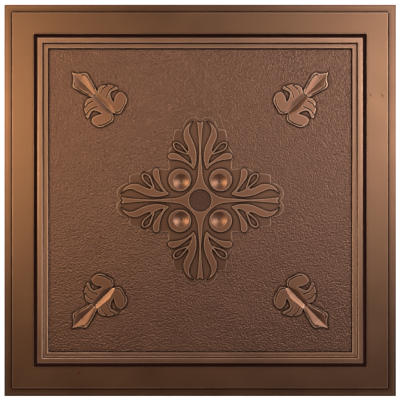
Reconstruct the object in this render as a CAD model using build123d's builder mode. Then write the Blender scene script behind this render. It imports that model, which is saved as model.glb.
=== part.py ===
"""Square lay-in ceiling tile, pressed from one vinyl sheet with a rosette and four corner fleurs."""
import os
from math import acos, ceil, sqrt
from build123d import *

# Sheet and outer size
tile_side = 603.25
sheet_thickness = 0.76

# Section of the edge, from the tile's outer edge inwards: plan widths and rises
flange_width = 11.2
border_wall_run = 1.2
border_rise = 3.0
border_width = 32.8
cove_run = 7.2
cove_rise = 8.0
band_width = 6.8
step_run = 2.6
step_drop = 3.0
ledge_width = 5.6

# Relief of the ornament above the face that it stands on, and the draft of its walls
plate_rise = 0.9
leaf_rise = 2.4
stem_rise = 2.0
boss_rise = 3.2
fleur_rise = 2.8
wall_draft = 20

# Rosette
arm_count = 4
eyelet_crest = 1.6
boss_offset = 31.4
boss_radius = 17.3
dish_offset = 29.1
dish_radius = 12.0
dish_depth = 2.6
hub_radius = 17.0
hub_depth = 1.6

# Corner fleurs: the waist of each lies on the tile's diagonal. A valley follows the axis between
# the petals and another in the spearhead: reach from the waist, half width and depth on the way.
fleur_waist = 158.8
petal_valley = ((5.5, 5.5, 1.5), (-20.5, 7.8, 1.9), (-36.5, 3.0, 0.8))
spear_valley = ((3.2, 0.9, 0.2), (33.5, 9.6, 1.6), (50.5, 0.6, 0.1))
groove_width = 2.2
groove_depth = 0.5

# Curves are cut into flats that stay this close to them: at the crests, and in the pockets behind
crest_gap = 0.16
pocket_gap = 0.6

# Heights of the front face, from the back of the flange
flange_top = sheet_thickness
border_top = flange_top + border_rise
band_top = border_top + cove_rise
panel_top = band_top - 2 * step_drop
panel_back = panel_top - sheet_thickness
plate_top = panel_top + plate_rise
leaf_top = plate_top + leaf_rise
stem_top = plate_top + stem_rise
boss_top = plate_top + boss_rise
fleur_top = panel_top + fleur_rise

# Distances of the edge section's corners from the tile's middle
flange_end = tile_side / 2 - flange_width
border_start = flange_end - border_wall_run
border_end = border_start - border_width
band_start = border_end - cove_run
band_end = band_start - band_width
ledge_start = band_end - step_run
ledge_end = ledge_start - ledge_width
panel_half = ledge_end - step_run


def arc_chain(start, direction, *points):
    """Arcs that run smoothly into each other, from the start through the other points."""
    for end in points:
        arc = TangentArc(start, end, tangent=direction)
        start, direction = end, arc % 1


def in_flats(shape, gap):
    """The same faces with each arc of their outlines cut into flats."""
    with BuildSketch() as polygons:
        for face in shape.faces():
            rims = [(face.outer_wire(), Mode.ADD)]
            rims += [(wire, Mode.SUBTRACT) for wire in face.inner_wires()]
            for rim, mode in rims:
                corners = []
                for edge in rim.order_edges():
                    flats = 1
                    if edge.geom_type == GeomType.CIRCLE:
                        flat_angle = 2 * acos(max(0, 1 - gap / edge.radius))
                        flats = ceil(edge.length / edge.radius / flat_angle)
                    corners += [edge @ (i / flats) for i in range(flats)]
                with BuildLine():
                    Polyline(*corners, close=True)
                make_face(mode=mode)
    return polygons.sketch


def leaf():
    """S-shaped leaf beside an arm's stem, with the drop that grows out of its foot."""
    tip = (12.0, 120.3)
    fork = (17.4, 77.3)
    heel = (20.3, 72.4)
    slot_end = (12.4, 55.2)
    blunt_end = (44.6, 63.0)
    foot = (10.0, 47.9)
    with BuildSketch() as outline:
        with BuildLine():
            arc_chain(tip, (1, -0.35), (21.5, 113.0), (25.3, 103.2), (22.0, 88.5), fork)
            Line(fork, heel)
            arc_chain(heel, (-1, -0.75), (14.3, 64.4), slot_end)
            arc_chain(slot_end, (1, 0.75), (32.5, 69.8), (44.0, 72.6), (48.9, 68.2), blunt_end)
            arc_chain(blunt_end, (-1, 0), (31.6, 61.6), foot)
            arc_chain(foot, (-0.5, 1), (5.6, 68.0), (10.2, 87.8), (16.3, 101.5), tip)
        make_face()
    return outline.sketch


def eyelet():
    """Crest of a ridge bent into an open loop between the leaf and the drop."""
    root = (19.4, 73.4)
    root_end = (20.0, 71.2)
    with BuildSketch() as outline:
        with BuildLine():
            arc_chain(root, (0.75, 1), (28.0, 84.0), (36.4, 88.9), (40.9, 84.6), (34.0, 76.3), root_end)
            Line(root_end, root)
        make_face()
    middle = outline.sketch
    with BuildSketch() as ridge:
        add(offset(middle, amount=eyelet_crest / 2, mode=Mode.PRIVATE))
        add(offset(middle, amount=-eyelet_crest / 2, mode=Mode.PRIVATE), mode=Mode.SUBTRACT)
    return ridge.sketch


def blade_half():
    """Half of the upper stem of an arm, widening from the neck to its split top."""
    neck = (1.0, 72.0)
    top = (4.7, 121.2)
    split = (0, 118.3)
    with BuildSketch() as outline:
        with BuildLine():
            arc_chain(neck, (0.02, 1), top)
            Polyline(top, split, (0, neck[1]), neck)
        make_face()
    return outline.sketch


def web_half():
    """Half of the lower stem of an arm, from the neck down to the web round the hub."""
    neck = (1.0, 72.0)
    web = (15.0, 15.0)
    with BuildSketch() as outline:
        with BuildLine():
            arc_chain(web, (-1, 1), (8.9, 22.6), (3.5, 38.6), neck)
            Polyline(neck, (0, neck[1]), (0, 0), web)
        make_face()
    return outline.sketch


def plate_half():
    """Half of one arm's low plate, three-lobed, up to the diagonal between two arms."""
    notch = (0, 123.4)
    first = (26.2, 113.2)
    second = (26.6, 108.6)
    third = (40.4, 89.6)
    corner = (48.6, 48.6)
    with BuildSketch() as outline:
        with BuildLine():
            arc_chain(notch, (1, 1.2), (7.7, 128.3), (17.1, 127.0), first)
            Line(first, second)
            arc_chain(second, (1, 0.1), (34.2, 109.2), (40.2, 104.0), (41.8, 96.4), third)
            arc_chain(third, (0.5, -1), (45.6, 80.6), (49.6, 71.8), (49.5, 60.5), corner)
            Polyline(corner, (0, 0), notch)
        make_face()
    return outline.sketch


def spear_half():
    """Half of a fleur's spearhead, with its axis along +Y and the waist at the origin."""
    tip = (0, 53.7)
    neck = (6.0, 6.0)
    foot = (2.6, 2.0)
    with BuildSketch() as outline:
        with BuildLine():
            arc_chain(tip, (0.35, -1), (5.0, 45.6), (12.0, 40.4), (14.6, 34.5), (10.4, 18.6), neck)
            Polyline(neck, foot, (0, foot[1]), tip)
        make_face()
    return outline.sketch


def petal():
    """A fleur's right-hand petal: three plumes above a hooked notch, a curl below it."""
    waist = (6.0, 4.4)
    second_plume = (22.8, 2.6)
    third_plume = (30.4, -6.6)
    beak = (31.4, -13.8)
    hook = (12.2, -24.6)
    cleft = (0, -33.0)
    with BuildSketch() as outline:
        with BuildLine():
            arc_chain(waist, (0.9, 0.7), (9.2, 6.6), (14.4, 7.8), (19.1, 6.4), second_plume)
            arc_chain(second_plume, (1, -0.1), (27.6, -1.0), third_plume)
            arc_chain(third_plume, (1, -0.6), (32.6, -9.6), (33.0, -12.6), beak)
            arc_chain(beak, (-1, 0.35), (24.0, -10.7), (16.6, -12.6), hook)
            arc_chain(hook, (0.75, 0.5), (18.6, -20.6), (26.4, -18.2), (33.0, -23.6),
                      (32.2, -31.6), (24.6, -39.0), (11.3, -43.1), (4.6, -41.0), cleft)
            Polyline(cleft, (0, 2.0), waist)
        make_face()
    return outline.sketch


def both_sides(shape):
    """A half and its mirror image across the local Y axis."""
    with BuildSketch() as pair:
        add(shape)
        mirror(shape, about=Plane.YZ)
    return pair.sketch


def round_the_middle(shape):
    """Turned copies of a shape about the tile's middle, one for each arm."""
    with BuildSketch() as ring:
        with PolarLocations(0, arm_count):
            add(shape)
    return ring.sketch


def press(shape, top, base):
    """Drafted form from its crest down past the face that it stands on."""
    extrude(
        Plane.XY.offset(top) * in_flats(shape, crest_gap),
        amount=-(top - base + sheet_thickness / 2),
        taper=-wall_draft,
    )


def press_hollow(shape, top, base):
    """What a raised form leaves open behind it, one sheet thickness inside its crest outline."""
    inner = offset(shape, amount=-sheet_thickness, kind=Kind.ARC, mode=Mode.PRIVATE)
    extrude(
        Plane.XY.offset(top - sheet_thickness) * in_flats(inner, pocket_gap),
        amount=-(top - base + sheet_thickness / 2),
    )


def groove(*points):
    """V-shaped groove along a line in a fleur's crest, cut on both sides of its axis."""
    with BuildPart() as cut:
        with BuildLine(Plane.XY.offset(fleur_top)) as line:
            Polyline(*points)
        run = line.wire()
        with BuildSketch(Plane(run @ 0, x_dir=(0, 0, 1), z_dir=run % 0)):
            Polygon((-groove_depth, 0), (0, -groove_width / 2), (0, groove_width / 2), align=None)
        sweep(path=run, transition=Transition.RIGHT)
        mirror(about=Plane.YZ)
    return cut.part


# Crest outlines of the relief
plate = round_the_middle(both_sides(plate_half()))
blades = round_the_middle(both_sides(blade_half()))
web = round_the_middle(both_sides(web_half()))
leaves = round_the_middle(both_sides(leaf()))
eyelets = round_the_middle(both_sides(eyelet()))
fleur_place = Location((0, 0, 0), (0, 0, -45)) * Location((0, fleur_waist * sqrt(2), 0))
spears = round_the_middle(fleur_place * both_sides(spear_half()))
right_petals = round_the_middle(fleur_place * petal())
left_petals = round_the_middle(fleur_place * petal().mirror(Plane.YZ))
petals = round_the_middle(fleur_place * both_sides(petal()))

# Valleys along a fleur's axis
with BuildPart() as valleys:
    for stations in (petal_valley, spear_valley):
        for stretch in zip(stations, stations[1:]):
            for reach, half_width, depth in stretch:
                with BuildSketch(Plane.XZ.offset(-reach)):
                    with Locations((0, fleur_top)):
                        Polygon((-half_width, 0), (half_width, 0), (0, -depth), align=None)
            loft()

# Grooves of a fleur: one beside the spearhead's rim, two between the plumes, one along the curl
grooves = [
    groove((7.2, 39.9), (10.6, 38.3), (11.8, 34.6), (10.7, 27.0), (6.4, 10.9)),
    groove((24.6, 1.0), (16.8, 2.3), (12.2, 1.4), (8.0, -0.4)),
    groove((31.4, -8.4), (22.7, -6.3), (16.8, -7.6), (9.6, -11.0)),
    groove((29.4, -31.6), (26.4, -35.0), (19.5, -38.6), (9.6, -40.8), (5.0, -38.6), (3.6, -35.0)),
]

# Round dish in each boss, set towards the hub
with BuildSketch() as boss_outline:
    with GridLocations(2 * boss_offset, 2 * boss_offset, 2, 2):
        Circle(boss_radius)
dish_curve = (dish_radius**2 + dish_depth**2) / (2 * dish_depth)
dish_centre = boss_top - dish_depth + dish_curve


def dish_places(height):
    """The middles of the dishes at a height."""
    return [
        Location((dish_offset * x, dish_offset * y, height)) for x in (-1, 1) for y in (-1, 1)
    ]


with BuildPart() as relief:
    press(web, stem_top, plate_top)
    with BuildSketch(Plane.XY.offset(stem_top - hub_depth)):
        Circle(hub_radius)
    extrude(amount=hub_depth, taper=-wall_draft, mode=Mode.SUBTRACT)
    press(blades, stem_top, plate_top)
    press(leaves, leaf_top, plate_top)
    press(eyelets, leaf_top, plate_top)
    press(boss_outline.sketch, boss_top, plate_top)
    with Locations(*dish_places(dish_centre)):
        Sphere(dish_curve, mode=Mode.SUBTRACT)
    press(plate, plate_top, panel_top)
    press(spears, fleur_top, panel_top)
    press(right_petals, fleur_top, panel_top)
    press(left_petals, fleur_top, panel_top)
    with PolarLocations(0, arm_count):
        add(fleur_place * valleys.part, mode=Mode.SUBTRACT)
        for cut in grooves:
            add(fleur_place * cut, mode=Mode.SUBTRACT)

with BuildPart() as hollows:
    press_hollow(web, stem_top, plate_top)
    with BuildSketch(Plane.XY.offset(stem_top - hub_depth - sheet_thickness)):
        Circle(hub_radius + sheet_thickness)
    extrude(amount=hub_depth, mode=Mode.SUBTRACT)
    press_hollow(blades, stem_top, plate_top)
    press_hollow(leaves, leaf_top, plate_top)
    press_hollow(boss_outline.sketch, boss_top, plate_top)
    with Locations(*dish_places(boss_top - sheet_thickness - dish_depth / 2)):
        Cone(dish_radius / 2, dish_radius + sheet_thickness, dish_depth, mode=Mode.SUBTRACT)
    press_hollow(plate, plate_top, panel_top)
    press_hollow(spears, fleur_top, panel_top)
    press_hollow(petals, fleur_top, panel_top)
    with Locations((0, 0, -sheet_thickness)):
        with PolarLocations(0, arm_count):
            add(fleur_place * valleys.part, mode=Mode.SUBTRACT)

with BuildPart() as ceiling_tile:
    # Flange, border, cove, band and ledge: one folded section carried round the square
    with BuildSketch(Plane.XZ) as edge_section:
        with BuildLine():
            front = Polyline(
                (-tile_side / 2, flange_top),
                (-flange_end, flange_top),
                (-border_start, border_top),
                (-border_end, border_top),
                (-band_start, band_top),
                (-band_end, band_top),
                (-ledge_start, band_top - step_drop),
                (-ledge_end, band_top - step_drop),
                (-panel_half, panel_top),
                (-panel_half + sheet_thickness, panel_top),
            )
            offset(front, amount=sheet_thickness, side=Side.RIGHT, kind=Kind.INTERSECTION)
        make_face()
    corner = tile_side / 2
    with BuildLine(Plane.XY.offset(flange_top)) as rim:
        Polyline((-corner, 0), (-corner, corner), (corner, corner), (corner, -corner),
                 (-corner, -corner), (-corner, 0))
    sweep(sections=edge_section.sketch, path=rim.wire(), transition=Transition.RIGHT)

    # Panel inside the frame, with the relief pressed into it
    with BuildSketch(Plane.XY.offset(panel_back)):
        Rectangle(2 * panel_half, 2 * panel_half)
    extrude(amount=sheet_thickness)
    add(relief)
    add(hollows, mode=Mode.SUBTRACT)

ceiling_tile.part.label = "ceiling_tile"
os.makedirs("parts", exist_ok=True)
export_step(ceiling_tile.part, "parts/ceiling_tile.step")
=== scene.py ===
"""Dresses a pressed vinyl ceiling tile: rounds its relief, finishes the sheet and sets the stage."""
from math import atan, radians

import bmesh
import bpy
from bpy.props import FloatProperty, FloatVectorProperty, IntProperty, PointerProperty
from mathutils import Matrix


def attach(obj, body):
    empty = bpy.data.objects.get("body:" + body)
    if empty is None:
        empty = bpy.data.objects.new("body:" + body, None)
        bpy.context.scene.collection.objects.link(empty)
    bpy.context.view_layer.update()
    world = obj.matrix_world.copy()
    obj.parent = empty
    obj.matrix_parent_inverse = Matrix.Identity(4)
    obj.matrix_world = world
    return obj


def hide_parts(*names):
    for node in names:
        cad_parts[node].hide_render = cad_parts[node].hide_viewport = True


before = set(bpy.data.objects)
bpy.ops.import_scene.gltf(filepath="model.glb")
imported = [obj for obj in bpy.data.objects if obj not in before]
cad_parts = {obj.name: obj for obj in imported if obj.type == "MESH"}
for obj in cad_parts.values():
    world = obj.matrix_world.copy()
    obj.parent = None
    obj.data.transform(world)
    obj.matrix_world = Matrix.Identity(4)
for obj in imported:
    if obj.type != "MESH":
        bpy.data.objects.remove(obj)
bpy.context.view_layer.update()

bl_info = {
    "name": "Vinyl ceiling tile",
    "version": (1, 0, 0),
    "blender": (4, 5, 0),
    "location": "3D View > Sidebar > Ceiling tile",
    "description": "Rounds, finishes and lights a pressed vinyl ceiling tile",
    "category": "Object",
}

MM = 0.001

# Distances from the tile's middle, and heights from the back of the flange
TILE_HALF = 301.625 * MM
FLANGE_END = 290.4 * MM
PANEL_HALF = 232.85 * MM
HUB_RADIUS = 17.0 * MM
FLEUR_START = 150.0 * MM
PANEL_TOP = 5.76 * MM
PLATE_TOP = 6.66 * MM
BORDER_TOP = 3.76 * MM

# Sharp edges turn by more than this. A chain of them with a shorter stretch takes the fine rounding.
SHARP_TURN = radians(14)
SHORT_STRETCH = 1.5 * MM
EDGE_MARGIN = 0.1 * MM

# Facets this flat are joined, and corners this close are merged, before the edges are rounded
FLAT_TURN = radians(0.5)
MERGE_GAP = 0.2 * MM

# Where each part of the face begins, and where it is wholly there
INSIDE = (PANEL_HALF, PANEL_HALF - 1.0 * MM)
FLANGE = (FLANGE_END - 0.5 * MM, FLANGE_END + 0.5 * MM)
HUB = (HUB_RADIUS + 0.3 * MM, HUB_RADIUS - 0.7 * MM)
FLEURS = (FLEUR_START, FLEUR_START + 5.0 * MM)
ABOVE_GROUND = (PANEL_TOP + 0.1 * MM, PANEL_TOP + 0.4 * MM)
RAISED = (PLATE_TOP + 0.6 * MM, PLATE_TOP + 1.4 * MM)
BEAD = (PANEL_TOP + 2.2 * MM, PANEL_TOP + 2.8 * MM)
RIM_WIDTH = 3.0 * MM

# Painted light and shade: each part of the one bronze is tinted lighter or darker for how the light
# falls on it; then the colours of the painted shade in the corners and of the painted highlight on
# the crests
PAINTED_LIGHT_TINTS = {
    "ground": (0.86, 0.87, 1.05),
    "plate": (0.92, 0.91, 1.02),
    "raised": (1.28, 1.20, 1.28),
    "hub": (0.62, 0.62, 0.72),
    "flange": (0.85, 0.83, 0.86),
    "bead": (1.40, 1.45, 1.60),
}
PAINTED_SHADE_TINT = (0.12, 0.09, 0.10)
PAINTED_HIGHLIGHT_COLOUR = (1.0, 0.64, 0.47)

# Where the painted shade and painted highlight fall: corners and crests by how open they are, crests
# by how far the sheet bends there, and level and grooved places by the upright part of the normal
CORNER_OPEN = (0.97, 0.70)
CREST_OPEN = (0.88, 0.98)
CREST_BEND = (0.999, 0.98)
LEVEL_SLOPE = (0.72, 0.88)
GROOVE_SLOPE = (0.955, 0.925)
GROOVE_FREE = (0.5, 0.1)

# Cloudiness and waves of the finish
CLOUD_SCALE = 16.0
CLOUD_RANGE = (0.3, 0.7)
CLOUD_TINTS = (1.05, 0.95)
CLOUD_ROUGHNESS = (0.40, 0.45)
WAVE_SCALE = 28.0
WAVE_DEPTH = 0.10 * MM
HUB_GRAIN = 0.6

# Marks on the sheet: place, radius, and how deep they press in or what colour they take and how much
DIMPLES = (
    ((260.6, 162.1), 3.0, 0.25),
    ((279.3, 161.0), 3.0, 0.25),
)
STAINS = (
    ((-186.4, -265.2), 3.0, (0.34, 0.05, 0.03), 0.9),
    ((274.4, -138.6), 4.5, (0.30, 0.17, 0.12), 0.5),
    ((151.8, -282.8), 4.0, (0.42, 0.27, 0.20), 0.5),
    ((298.9, 228.2), 3.5, (0.62, 0.50, 0.42), 0.5),
)

# Stage: the floor lies just under the tile, and low light gives way to dim sky over this rise
FLOOR_SIZE = 12
FLOOR_DROP = 0.2 * MM
LAMP_SIZE = 0.3
SIDE_RISE = (0.40, 0.60)
SKY_COLOUR = (1.0, 0.74, 0.76)
CAMERA_PLACE = (-0.26 * MM, 0.58 * MM)


class CeilingTileRelief(bpy.types.PropertyGroup):
    """Sizes of the rounding that forming leaves on the sheet."""

    moulding_round: FloatProperty(
        name="Moulding rounding",
        description="Width of the rounding along the edges of the frame moulding",
        default=0.7 * MM,
        unit="LENGTH",
        precision=5,
    )
    broad_round: FloatProperty(
        name="Broad rounding",
        description="Width of the rounding along plain crests and feet of the ornament",
        default=0.55 * MM,
        unit="LENGTH",
        precision=5,
    )
    fine_round: FloatProperty(
        name="Fine rounding",
        description="Width of the rounding where the ornament's outline has short stretches",
        default=0.22 * MM,
        unit="LENGTH",
        precision=5,
    )
    round_steps: IntProperty(
        name="Rounding steps",
        description="Facets across each rounding",
        default=2,
        min=1,
        max=6,
    )


class CeilingTileFinish(bpy.types.PropertyGroup):
    """Colours and texture of the bronze finish, with the reach and strength of its painted shade and
    painted highlight.
    """

    bronze: FloatVectorProperty(
        name="Bronze",
        description="Colour of the smooth satin bronze",
        default=(0.36, 0.19, 0.115),
        subtype="COLOR",
        size=3,
    )
    grain_size: FloatProperty(
        name="Grain size",
        description="Width of one pebble of the panel's leather grain",
        default=2.4 * MM,
        unit="LENGTH",
        precision=5,
    )
    grain_depth: FloatProperty(
        name="Grain depth",
        description="Depth of the leather grain",
        default=0.55 * MM,
        unit="LENGTH",
        precision=5,
    )
    soft_edge: FloatProperty(
        name="Soft edge",
        description="Radius over which the light softens at every edge of the relief",
        default=0.3 * MM,
        unit="LENGTH",
        precision=5,
    )
    # Painted highlight: width of the bright line along the crests
    highlight_width: FloatProperty(
        name="Highlight width",
        description="Width of the bright line along the crests",
        default=2.0 * MM,
        unit="LENGTH",
        precision=5,
    )
    # Painted shade: how far it reaches out of a corner
    corner_depth: FloatProperty(
        name="Corner depth",
        description="How far the dark patina reaches out of a corner",
        default=4.0 * MM,
        unit="LENGTH",
        precision=5,
    )
    # Painted shade: how dark the corners, walls and grooves are painted
    painted_shade: FloatProperty(
        name="Painted shade",
        description="How dark the finish is in the corners",
        default=1.0,
        min=0,
        max=1,
        subtype="FACTOR",
    )
    # Painted highlight: how bright the crests are painted
    painted_highlight: FloatProperty(
        name="Painted highlight",
        description="How bright the finish is along the crests",
        default=1.0,
        min=0,
        max=1,
        subtype="FACTOR",
    )


class CeilingTileStage(bpy.types.PropertyGroup):
    """Camera and light."""

    camera_height: FloatProperty(
        name="Camera height",
        description="Height of the camera above the floor",
        default=3.0,
        unit="LENGTH",
    )
    frame_width: FloatProperty(
        name="Frame width",
        description="Width of the floor that the picture shows",
        default=0.6162,
        unit="LENGTH",
    )
    golden_power: FloatProperty(
        name="Left lamp",
        description="Power of the golden lamp on the left",
        default=2.8,
        unit="POWER",
    )
    white_power: FloatProperty(
        name="Right lamp",
        description="Power of the white lamp on the right",
        default=3.2,
        unit="POWER",
    )
    side_strength: FloatProperty(
        name="Side strength",
        description="Strength of the light that stands low all round the stage",
        default=0.4,
        min=0,
    )
    sky_strength: FloatProperty(
        name="Sky strength",
        description="Strength of the dim rose light from above",
        default=0.035,
        min=0,
    )


def show_only(piece):
    """Makes a piece the only selected and the active one."""
    bpy.ops.object.select_all(action="DESELECT")
    piece.select_set(True)
    bpy.context.view_layer.objects.active = piece


def sharp(edge):
    """Whether an edge runs level along a crest or a foot, so that forming rounds it."""
    start, end = (vertex.co for vertex in edge.verts)
    level = abs(end.z - start.z) < 0.5 * (end - start).length
    return level and len(edge.link_faces) == 2 and edge.calc_face_angle(0) > SHARP_TURN


def reach(vertex):
    """Distance of a vertex from the tile's middle, measured square to the sides."""
    return max(abs(vertex.co.x), abs(vertex.co.y))


def chains(edges):
    """Groups of edges that hang together end to end."""
    waiting = set(edges)
    while waiting:
        found = [waiting.pop()]
        for edge in found:
            near = {other for vertex in edge.verts for other in vertex.link_edges} & waiting
            waiting -= near
            found.extend(near)
        yield found


def sort_edges(piece, roundings):
    """In edit mode, notes on each sharp edge which of the roundings it takes."""
    mesh = bmesh.from_edit_mesh(piece.data)
    layer = mesh.edges.layers.int.new("rounding")
    ornament = []
    for edge in filter(sharp, mesh.edges):
        nearest = min(reach(vertex) for vertex in edge.verts)
        if nearest <= PANEL_HALF - EDGE_MARGIN:
            ornament.append(edge)
        elif nearest < TILE_HALF - EDGE_MARGIN:
            edge[layer] = roundings.index("moulding") + 1
    for chain in chains(ornament):
        shortest = min(edge.calc_length() for edge in chain)
        kind = "broad" if shortest > SHORT_STRETCH else "fine"
        for edge in chain:
            edge[layer] = roundings.index(kind) + 1
    bmesh.update_edit_mesh(piece.data)


def select_rounding(piece, number):
    """In edit mode, selects the edges that take one of the roundings."""
    bpy.ops.mesh.select_mode(type="EDGE")
    bpy.ops.mesh.select_all(action="DESELECT")
    mesh = bmesh.from_edit_mesh(piece.data)
    layer = mesh.edges.layers.int["rounding"]
    for edge in mesh.edges:
        edge.select_set(edge[layer] == number)
    bmesh.update_edit_mesh(piece.data)


def add_node(tree, kind, inputs=(), **options):
    """Adds a node with its options, and fills its inputs with values or with links from sockets."""
    node = tree.nodes.new(kind)
    for name, value in options.items():
        setattr(node, name, value)
    for name, value in dict(inputs).items():
        if isinstance(value, bpy.types.NodeSocket):
            tree.links.new(value, node.inputs[name])
        else:
            node.inputs[name].default_value = value
    return node


def math(tree, operation, *values):
    """Adds a math node and gives its result."""
    return add_node(tree, "ShaderNodeMath", enumerate(values), operation=operation).outputs[0]


def times(tree, *values):
    """Multiplies values by one another."""
    product = values[0]
    for value in values[1:]:
        product = math(tree, "MULTIPLY", product, value)
    return product


def rest_of(tree, share):
    """What a share leaves of the whole."""
    return math(tree, "SUBTRACT", 1.0, share)


def vector_math(tree, operation, *vectors, output="Vector"):
    """Adds a vector math node and gives the output named."""
    node = add_node(tree, "ShaderNodeVectorMath", enumerate(vectors), operation=operation)
    return node.outputs[output]


def ramp(tree, value, start, end, low=0.0, high=1.0):
    """Adds a clamped range from low at the start to high at the end, and gives its result."""
    limits = {"Value": value, "From Min": start, "From Max": end, "To Min": low, "To Max": high}
    return add_node(tree, "ShaderNodeMapRange", limits).outputs["Result"]


def blend(tree, share, over, under, kind="MIX"):
    """Lays one colour over another by a share, and gives the result."""
    colours = [(*part, 1) if isinstance(part, tuple) else part for part in (under, over)]
    return add_node(tree, "ShaderNodeMix", {0: share, 6: colours[0], 7: colours[1]},
                    data_type="RGBA", blend_type=kind).outputs[2]


def new_group(name, sockets):
    """Adds a node group with the sockets named, and gives its tree, inputs and output node."""
    tree = bpy.data.node_groups.new(name, "ShaderNodeTree")
    for socket, (direction, kind) in sockets.items():
        tree.interface.new_socket(socket, in_out=direction, socket_type=kind)
    inlet = tree.nodes.new("NodeGroupInput")
    outlet = tree.nodes.new("NodeGroupOutput")
    return tree, inlet.outputs, outlet


def leather_grain():
    """Node group: pebbled leather grain, as a height about nought."""
    tree, given, outlet = new_group("leather_grain", {
        "Vector": ("INPUT", "NodeSocketVector"),
        "Grain size": ("INPUT", "NodeSocketFloat"),
        "Height": ("OUTPUT", "NodeSocketFloat"),
    })
    scale = math(tree, "DIVIDE", 1.0, given["Grain size"])
    pebbles = add_node(tree, "ShaderNodeTexVoronoi", {
        "Vector": given["Vector"], "Scale": scale, "Smoothness": 0.6,
    }, feature="SMOOTH_F1")
    swell = add_node(tree, "ShaderNodeTexNoise", {
        "Vector": given["Vector"], "Scale": scale, "Detail": 3.0,
    })
    height = math(tree, "SUBTRACT", swell.outputs["Fac"], pebbles.outputs["Distance"])
    tree.links.new(height, outlet.inputs["Height"])
    return tree


def round_mark():
    """Node group: mask of a round mark with a soft, slightly uneven rim."""
    tree, given, outlet = new_group("round_mark", {
        "Vector": ("INPUT", "NodeSocketVector"),
        "Centre": ("INPUT", "NodeSocketVector"),
        "Radius": ("INPUT", "NodeSocketFloat"),
        "Mask": ("OUTPUT", "NodeSocketFloat"),
    })
    distance = vector_math(tree, "DISTANCE", given["Vector"], given["Centre"], output="Value")
    uneven = add_node(tree, "ShaderNodeTexNoise", {
        "Vector": given["Vector"], "Scale": 700.0,
    }).outputs["Fac"]
    rim = times(tree, given["Radius"], ramp(tree, uneven, 0.3, 0.7, 0.75, 1.25))
    mask = ramp(tree, math(tree, "DIVIDE", distance, rim), 1.0, 0.0)
    mask = math(tree, "SMOOTH_MIN", mask, 1.0, 0.2)
    tree.links.new(mask, outlet.inputs["Mask"])
    return tree


def face_parts(tree, place, reach_out, from_axis):
    """Masks of the parts of the face, by the names of their tints."""
    rise = add_node(tree, "ShaderNodeSeparateXYZ", {"Vector": place}).outputs["Z"]
    inside = ramp(tree, reach_out, *INSIDE)
    above = ramp(tree, rise, *ABOVE_GROUND)
    raised = times(tree, inside, ramp(tree, rise, *RAISED))
    return {
        "ground": times(tree, inside, rest_of(tree, above)),
        "plate": math(tree, "SUBTRACT", times(tree, inside, above), raised),
        "raised": raised,
        "hub": times(tree, ramp(tree, from_axis, *HUB), rest_of(tree, raised)),
        "flange": ramp(tree, reach_out, *FLANGE),
        "bead": times(tree, rest_of(tree, inside), ramp(tree, rise, *BEAD)),
    }


def shade_and_highlight_masks(tree, raised, reach_out, from_axis, finish):
    """Masks of the painted shade in the corners, on the steep walls and in the grooves, and of the
    painted highlight along the crests.
    """
    edges = add_node(tree, "ShaderNodeBevel", {"Radius": finish.highlight_width}, samples=8)
    flat = add_node(tree, "ShaderNodeNewGeometry").outputs["True Normal"]
    bend = vector_math(tree, "DOT_PRODUCT", edges.outputs["Normal"], flat, output="Value")
    open_air = add_node(tree, "ShaderNodeAmbientOcclusion", {
        "Distance": finish.corner_depth,
    }, samples=8).outputs["AO"]
    upright = add_node(tree, "ShaderNodeSeparateXYZ", {"Vector": flat}).outputs["Z"]
    level = ramp(tree, upright, *LEVEL_SLOPE)
    fleurs = times(tree, raised, ramp(tree, from_axis, *FLEURS))
    grooves = times(tree, fleurs, ramp(tree, upright, *GROOVE_SLOPE))
    # Painted shade: dark where the corners hide the sky, on the steep walls and in the fleurs'
    # grooves
    corner = math(tree, "MAXIMUM", ramp(tree, open_air, *CORNER_OPEN), rest_of(tree, level))
    corner = math(tree, "MAXIMUM", corner, grooves)
    # Painted highlight: bright along the open, level crests, away from the grooves and the tile's
    # rim
    crest = times(tree, ramp(tree, bend, *CREST_BEND), ramp(tree, open_air, *CREST_OPEN), level,
                  ramp(tree, grooves, *GROOVE_FREE),
                  math(tree, "LESS_THAN", reach_out, TILE_HALF - RIM_WIDTH))
    return corner, crest


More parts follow.
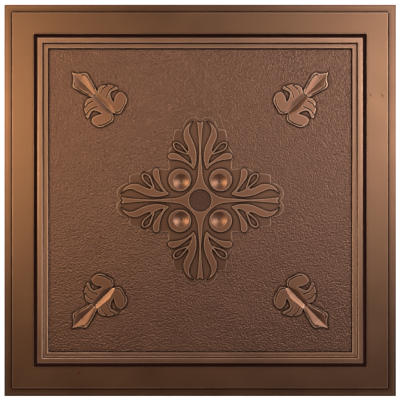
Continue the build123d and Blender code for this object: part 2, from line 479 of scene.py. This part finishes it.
def bronze_material(finish):
    """Satin bronze on formed vinyl, grained on the panel and smooth elsewhere."""
    material = bpy.data.materials.new("bronze_vinyl")
    material.use_nodes = True
    tree = material.node_tree
    shader = tree.nodes["Principled BSDF"]
    place = add_node(tree, "ShaderNodeTexCoord").outputs["Object"]
    along = add_node(tree, "ShaderNodeSeparateXYZ", {"Vector": place}).outputs
    reach_out = math(tree, "MAXIMUM", *(math(tree, "ABSOLUTE", along[axis]) for axis in "XY"))
    flattened = vector_math(tree, "MULTIPLY", place, (1, 1, 0))
    from_axis = vector_math(tree, "LENGTH", flattened, output="Value")
    parts = face_parts(tree, place, reach_out, from_axis)

    mark = round_mark()

    def mask_at(centre, radius):
        spot = add_node(tree, "ShaderNodeGroup", {"Vector": place}, node_tree=mark)
        spot.inputs["Centre"].default_value = (centre[0] * MM, centre[1] * MM, BORDER_TOP)
        spot.inputs["Radius"].default_value = radius * MM
        return spot.outputs["Mask"]

    # Leather grain on the ground and in the hub, slight waves everywhere, and the dimples
    grain = add_node(tree, "ShaderNodeGroup", node_tree=leather_grain())
    grain.inputs["Grain size"].default_value = finish.grain_size
    tree.links.new(place, grain.inputs["Vector"])
    grained = math(tree, "MAXIMUM", parts["ground"], times(tree, parts["hub"], HUB_GRAIN))
    height = times(tree, grain.outputs["Height"], grained, finish.grain_depth)
    waves = add_node(tree, "ShaderNodeTexNoise", {
        "Vector": place, "Scale": WAVE_SCALE, "Detail": 1.0,
    })
    height = math(tree, "MULTIPLY_ADD", waves.outputs["Fac"], WAVE_DEPTH, height)
    for centre, radius, depth in DIMPLES:
        height = math(tree, "MULTIPLY_ADD", mask_at(centre, radius), -depth * MM, height)

    # Clouded bronze, tinted lighter or darker part by part as painted light and shade, and stained,
    # with painted shade in the corners and painted highlights on the crests
    cloud = add_node(tree, "ShaderNodeTexNoise", {
        "Vector": place, "Scale": CLOUD_SCALE, "Detail": 3.0,
    })
    clouds = ramp(tree, cloud.outputs["Fac"], *CLOUD_RANGE)
    light, dark = (tuple(tint * part for part in finish.bronze) for tint in CLOUD_TINTS)
    colour = blend(tree, clouds, light, dark)
    # Painted light and shade: each part is tinted lighter or darker for how the light falls on it
    for part, tint in PAINTED_LIGHT_TINTS.items():
        colour = blend(tree, parts[part], tint, colour, "MULTIPLY")
    for centre, radius, tint, strength in STAINS:
        colour = blend(tree, times(tree, mask_at(centre, radius), strength), tint, colour)
    corner, crest = shade_and_highlight_masks(tree, parts["raised"], reach_out, from_axis, finish)
    # Painted shade multiplied into the colour
    colour = blend(tree, times(tree, corner, finish.painted_shade), PAINTED_SHADE_TINT, colour, "MULTIPLY")
    # Painted highlight laid over the crests
    colour = blend(tree, times(tree, crest, finish.painted_highlight), PAINTED_HIGHLIGHT_COLOUR, colour)

    soft = add_node(tree, "ShaderNodeBevel", {"Radius": finish.soft_edge}, samples=8)
    bump = add_node(tree, "ShaderNodeBump", {
        "Strength": 1.0, "Distance": 1.0, "Height": height, "Normal": soft.outputs["Normal"],
    })
    tree.links.new(colour, shader.inputs["Base Color"])
    roughness = ramp(tree, clouds, 0.0, 1.0, *CLOUD_ROUGHNESS)
    tree.links.new(roughness, shader.inputs["Roughness"])
    tree.links.new(bump.outputs["Normal"], shader.inputs["Normal"])
    shader.inputs["Metallic"].default_value = 1.0
    return material


def floor_material():
    """Matte floor that takes the shadow, and looks white to the camera and in reflections."""
    material = bpy.data.materials.new("pale_floor")
    material.use_nodes = True
    tree = material.node_tree
    matte = tree.nodes["Principled BSDF"]
    matte.inputs["Base Color"].default_value = (0.9, 0.9, 0.9, 1)
    matte.inputs["Roughness"].default_value = 0.9
    rays = add_node(tree, "ShaderNodeLightPath").outputs
    seen = math(tree, "MAXIMUM", rays["Is Camera Ray"], rays["Is Glossy Ray"])
    seen = math(tree, "MAXIMUM", seen, rays["Is Transmission Ray"])
    glow = add_node(tree, "ShaderNodeEmission", {"Strength": seen})
    both = add_node(tree, "ShaderNodeAddShader", {0: matte.outputs[0], 1: glow.outputs[0]})
    tree.links.new(both.outputs[0], tree.nodes["Material Output"].inputs["Surface"])
    return material


class TILE_OT_form_sheet(bpy.types.Operator):
    """Forms the sheet's rounded relief over the solid and finishes it in bronze."""

    bl_idname = "tile.form_sheet"
    bl_label = "Form the sheet"

    def execute(self, context):
        relief = context.scene.tile_relief
        show_only(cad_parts["ceiling_tile"])
        bpy.ops.object.duplicate()
        sheet = context.active_object
        sheet.name = sheet.data.name = "formed_sheet"
        show_only(sheet)
        bpy.ops.object.mode_set(mode="EDIT")
        bpy.ops.mesh.select_all(action="SELECT")
        bpy.ops.mesh.remove_doubles(threshold=MERGE_GAP)
        bpy.ops.mesh.dissolve_limited(angle_limit=FLAT_TURN)
        roundings = {
            "moulding": (relief.moulding_round, True),
            "broad": (relief.broad_round, True),
            "fine": (relief.fine_round, False),
        }
        sort_edges(sheet, list(roundings))
        bpy.ops.mesh.select_all(action="SELECT")
        bpy.ops.mesh.quads_convert_to_tris(ngon_method="BEAUTY")
        for number, (width, clamp) in enumerate(roundings.values(), 1):
            select_rounding(sheet, number)
            bpy.ops.mesh.bevel(offset=width, segments=relief.round_steps, clamp_overlap=clamp)
        bpy.ops.object.mode_set(mode="OBJECT")
        bpy.ops.object.shade_smooth()
        weighted = sheet.modifiers.new("flats_stay_flat", "WEIGHTED_NORMAL")
        weighted.weight = 100
        bpy.ops.object.modifier_apply(modifier=weighted.name)
        sheet.data.materials.clear()
        sheet.data.materials.append(bronze_material(context.scene.tile_finish))
        for face in sheet.data.polygons:
            face.material_index = 0
        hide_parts("ceiling_tile")
        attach(sheet, "root")
        return {"FINISHED"}


class TILE_OT_set_stage(bpy.types.Operator):
    """Lays the pale floor and sets the lamps and the camera."""

    bl_idname = "tile.set_stage"
    bl_label = "Set the stage"

    def execute(self, context):
        scene = context.scene
        stage = scene.tile_stage
        bpy.ops.object.select_all(action="DESELECT")
        bpy.ops.mesh.primitive_plane_add(size=FLOOR_SIZE, location=(0, 0, -FLOOR_DROP))
        floor = context.active_object
        floor.name = "pale_floor"
        floor.data.materials.append(floor_material())

        for name, place, power, colour in (
            ("left_lamp", (-0.60, 0.19, 1.0), stage.golden_power, (1.0, 0.81, 0.53)),
            ("right_lamp", (0.565, 0.25, 1.14), stage.white_power, (1.0, 0.98, 0.93)),
        ):
            bpy.ops.object.light_add(type="AREA", location=place)
            lamp = context.active_object
            lamp.name = name
            lamp.data.size = LAMP_SIZE
            lamp.data.energy = power
            lamp.data.color = colour
            lamp.rotation_euler = (-lamp.location).to_track_quat("-Z", "Y").to_euler()

        scene.world = bpy.data.worlds.new("studio")
        scene.world.use_nodes = True
        tree = scene.world.node_tree
        direction = add_node(tree, "ShaderNodeTexCoord").outputs["Generated"]
        rise = add_node(tree, "ShaderNodeSeparateXYZ", {"Vector": direction}).outputs["Z"]
        light = ramp(tree, rise, *SIDE_RISE, stage.side_strength, stage.sky_strength)
        sky = tree.nodes["Background"].inputs
        sky["Color"].default_value = (*SKY_COLOUR, 1)
        tree.links.new(light, sky["Strength"])

        bpy.ops.object.camera_add(
            location=(*CAMERA_PLACE, stage.camera_height), rotation=(0, 0, 0)
        )
        camera = context.active_object
        camera.name = "camera"
        camera.data.sensor_fit = "HORIZONTAL"
        camera.data.angle = 2 * atan(stage.frame_width / 2 / stage.camera_height)
        camera.data.clip_start = 0.01
        scene.camera = camera
        scene.view_settings.view_transform = "Standard"
        return {"FINISHED"}


class TILE_PT_panel(bpy.types.Panel):
    """Sidebar panel with the steps that make the tile."""

    bl_label = "Ceiling tile"
    bl_idname = "TILE_PT_panel"
    bl_space_type = "VIEW_3D"
    bl_region_type = "UI"
    bl_category = "Ceiling tile"

    def draw(self, context):
        for operator in OPERATORS:
            self.layout.operator(operator.bl_idname)


GROUPS = {
    "tile_relief": CeilingTileRelief,
    "tile_finish": CeilingTileFinish,
    "tile_stage": CeilingTileStage,
}
OPERATORS = (TILE_OT_form_sheet, TILE_OT_set_stage)


def register():
    """Registers the settings, the operators and the panel."""
    for name, group in GROUPS.items():
        bpy.utils.register_class(group)
        setattr(bpy.types.Scene, name, PointerProperty(type=group))
    for kind in (*OPERATORS, TILE_PT_panel):
        bpy.utils.register_class(kind)


def unregister():
    """Takes away what register added."""
    for kind in (TILE_PT_panel, *reversed(OPERATORS)):
        bpy.utils.unregister_class(kind)
    for name, group in GROUPS.items():
        delattr(bpy.types.Scene, name)
        bpy.utils.unregister_class(group)


def main():
    register()
    bpy.ops.tile.form_sheet()
    bpy.ops.tile.set_stage()


if __name__ == "__main__":
    main()
